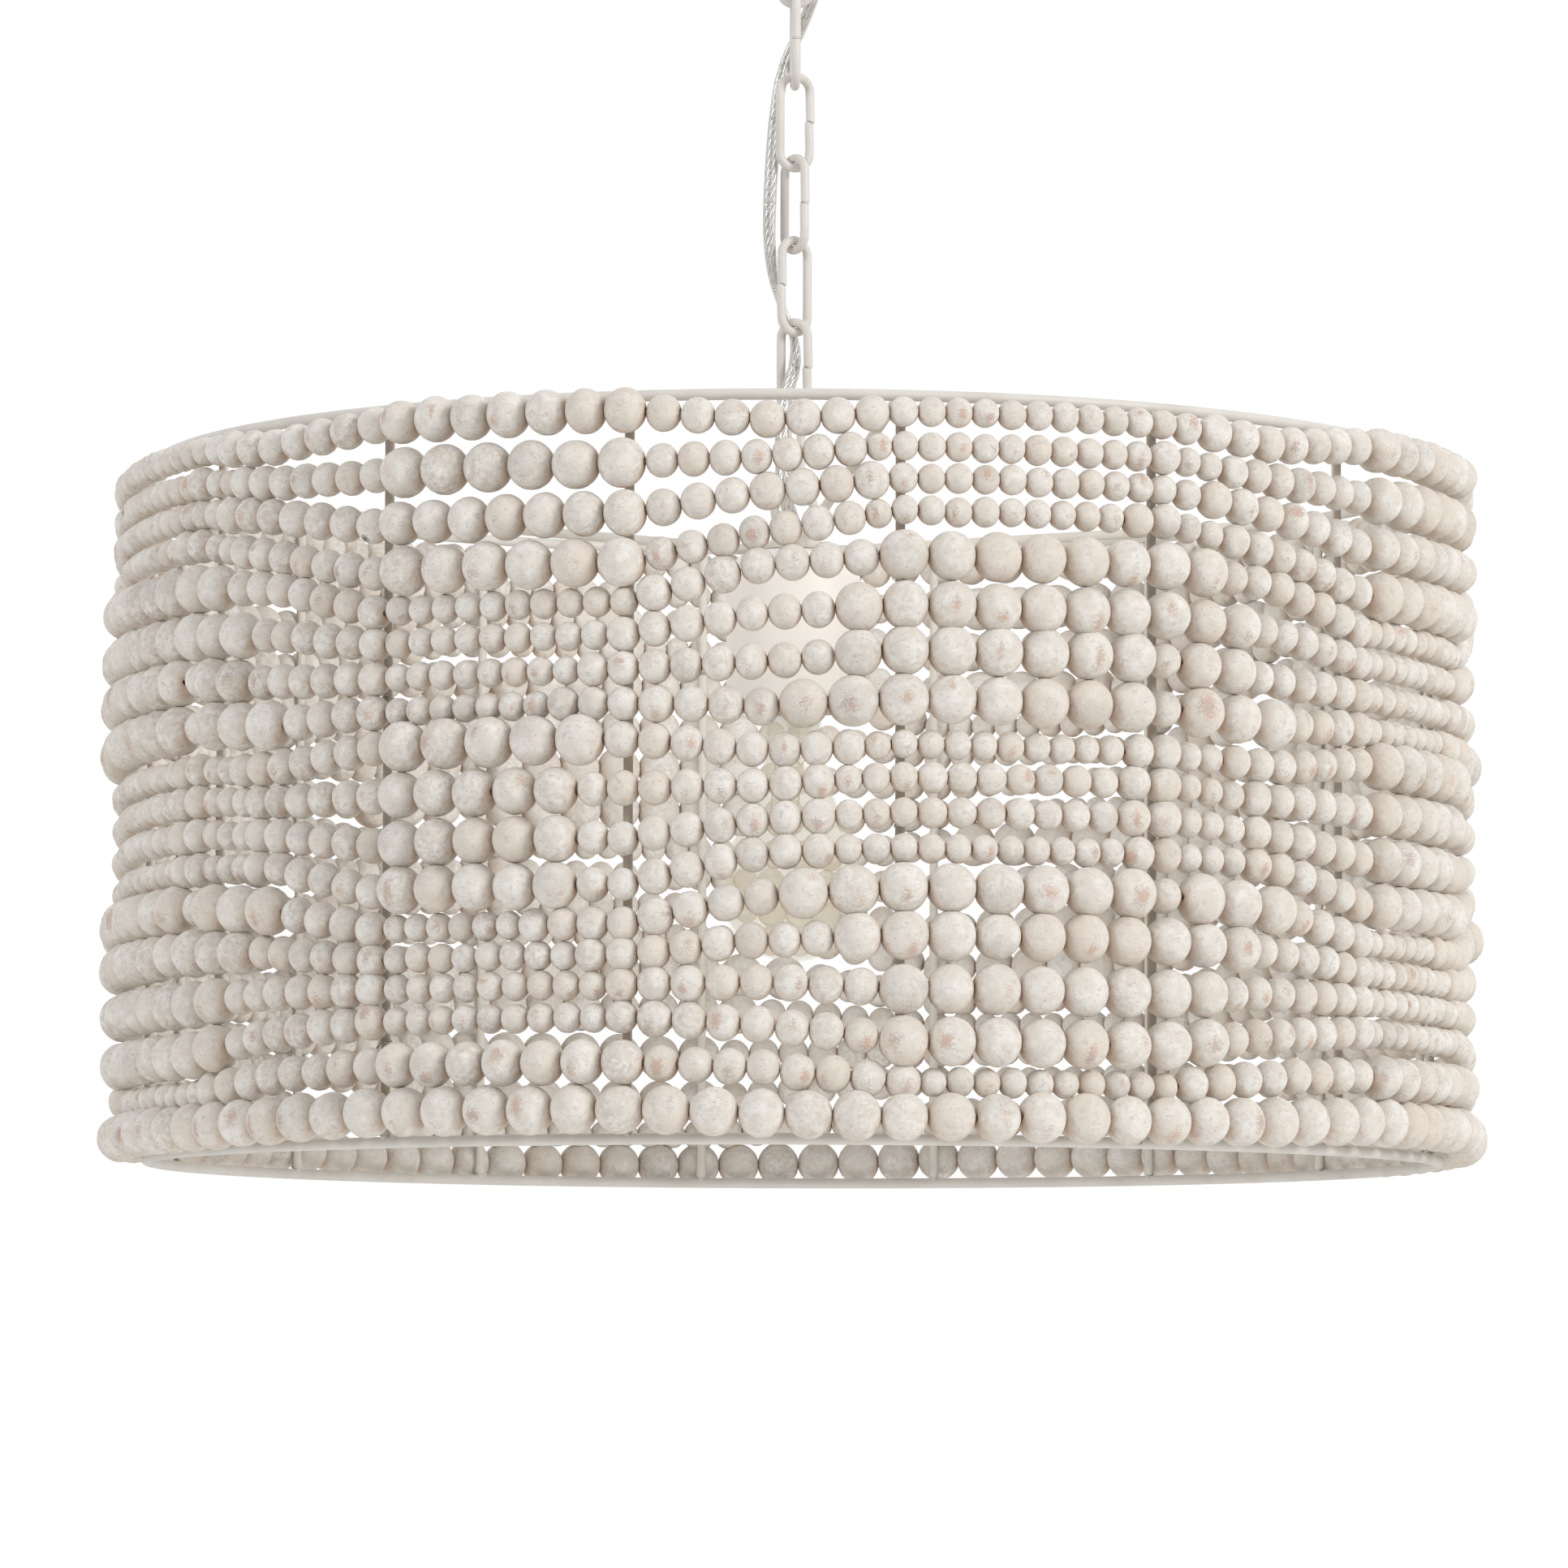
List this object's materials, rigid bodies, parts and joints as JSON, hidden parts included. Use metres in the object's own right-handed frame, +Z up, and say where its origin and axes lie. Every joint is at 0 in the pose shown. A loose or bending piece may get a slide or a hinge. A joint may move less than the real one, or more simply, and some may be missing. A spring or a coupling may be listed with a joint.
{
  "type": "beaded chandelier",
  "caption": "Round drum chandelier of white-washed wooden beads on a wire frame, hung on a painted chain from a ceiling canopy, with a clear bulb inside.",
  "frame": {"origin": "on the ceiling, at the middle of the mounting bar, above the centre of the drum", "axes": "+Z up, -Y towards the viewer of the picture, +X to the right"},
  "size_m": [0.6126, 0.6126, 0.6114],
  "materials": {
    "white_paint": "eggshell off-white paint on steel",
    "rib_paint": "matt taupe paint on steel wire",
    "zinc_steel": "zinc plate",
    "washed_wood": "chalky white wash over turned wood",
    "socket_resin": "moulded resin",
    "base_brass": "plain brass",
    "bulb_glass": "clear, lightly amber",
    "clear_cord": "clear sheath over silver strands"
  },
  "bodies": {
    "ceiling": {"mounting_bar": "zinc_steel", "canopy_nipple": "zinc_steel", "canopy": "white_paint", "canopy_collar": "white_paint", "canopy_loop": "white_paint"},
    "link_1": {"chain_link_1": "white_paint"},
    "link_2": {"chain_link_2": "white_paint", "cord_1": "clear_cord"},
    "link_3": {"chain_link_3": "white_paint"},
    "link_4": {"chain_link_4": "white_paint"},
    "link_5": {"chain_link_5": "white_paint"},
    "link_6": {"chain_link_6": "white_paint", "cord_2": "clear_cord"},
    "link_7": {"chain_link_7": "white_paint"},
    "drum": {"hub_loop": "white_paint", "hub_nipple": "zinc_steel", "spider": "rib_paint", "socket_cup": "white_paint", "lamp_socket": "socket_resin", "bulb_base": "base_brass", "bulb_glass": "bulb_glass", "bulb_stem": "bulb_glass", "top_ring_01": "white_paint", "top_ring_02": "white_paint", "bottom_ring_01": "white_paint", "bottom_ring_02": "white_paint", "rib_01": "rib_paint", "rib_02": "rib_paint", "rib_03": "rib_paint", "rib_04": "rib_paint", "rib_05": "rib_paint", "rib_06": "rib_paint", "rib_07": "rib_paint", "rib_08": "rib_paint", "rib_09": "rib_paint", "rib_10": "rib_paint", "rib_11": "rib_paint", "rib_12": "rib_paint", "rib_13": "rib_paint", "rib_14": "rib_paint", "rib_15": "rib_paint", "rib_16": "rib_paint", "bead_strand_01": "washed_wood", "bead_strand_02": "washed_wood", "bead_strand_03": "washed_wood", "bead_strand_04": "washed_wood", "bead_strand_05": "washed_wood", "bead_strand_06": "washed_wood", "bead_strand_07": "washed_wood", "bead_strand_08": "washed_wood", "bead_strand_09": "washed_wood", "bead_strand_10": "washed_wood", "bead_strand_11": "washed_wood", "bead_strand_12": "washed_wood", "bead_strand_13": "washed_wood", "bead_strand_14": "washed_wood", "bead_strand_15": "washed_wood", "bead_strand_16": "washed_wood", "bead_strand_17": "washed_wood", "bead_strand_18": "washed_wood"}
  },
  "joints": [
    {"name": "link_1_swing", "type": "hinge", "parent": "ceiling", "child": "link_1", "pos_m": [0, 0, -0.0555], "axis": [-0.0349, 0.9994, 0], "range_deg": [-20, 20]},
    {"name": "link_2_swing", "type": "hinge", "parent": "link_1", "child": "link_2", "pos_m": [0, 0, -0.0919], "axis": [0.9994, 0.0349, 0], "range_deg": [-20, 20], "deforming": ["cord_1"]},
    {"name": "link_3_swing", "type": "hinge", "parent": "link_2", "child": "link_3", "pos_m": [0, 0, -0.1288], "axis": [0.0349, -0.9994, 0], "range_deg": [-20, 20]},
    {"name": "link_4_swing", "type": "hinge", "parent": "link_3", "child": "link_4", "pos_m": [0, 0, -0.1657], "axis": [0.9781, 0.2079, 0], "range_deg": [-20, 20]},
    {"name": "link_5_swing", "type": "hinge", "parent": "link_4", "child": "link_5", "pos_m": [0, 0, -0.2026], "axis": [0.6293, -0.7771, 0], "range_deg": [-20, 20]},
    {"name": "link_6_swing", "type": "hinge", "parent": "link_5", "child": "link_6", "pos_m": [0, 0, -0.2395], "axis": [0.8572, 0.515, 0], "range_deg": [-20, 20], "deforming": ["cord_2"]},
    {"name": "link_7_swing", "type": "hinge", "parent": "link_6", "child": "link_7", "pos_m": [0, 0, -0.2764], "axis": [0.848, -0.5299, 0], "range_deg": [-20, 20]},
    {"name": "drum_swing", "type": "hinge", "parent": "link_7", "child": "drum", "pos_m": [0, 0, -0.3133], "axis": [0.4695, 0.8829, 0], "range_deg": [-30, 30]}
  ]
}
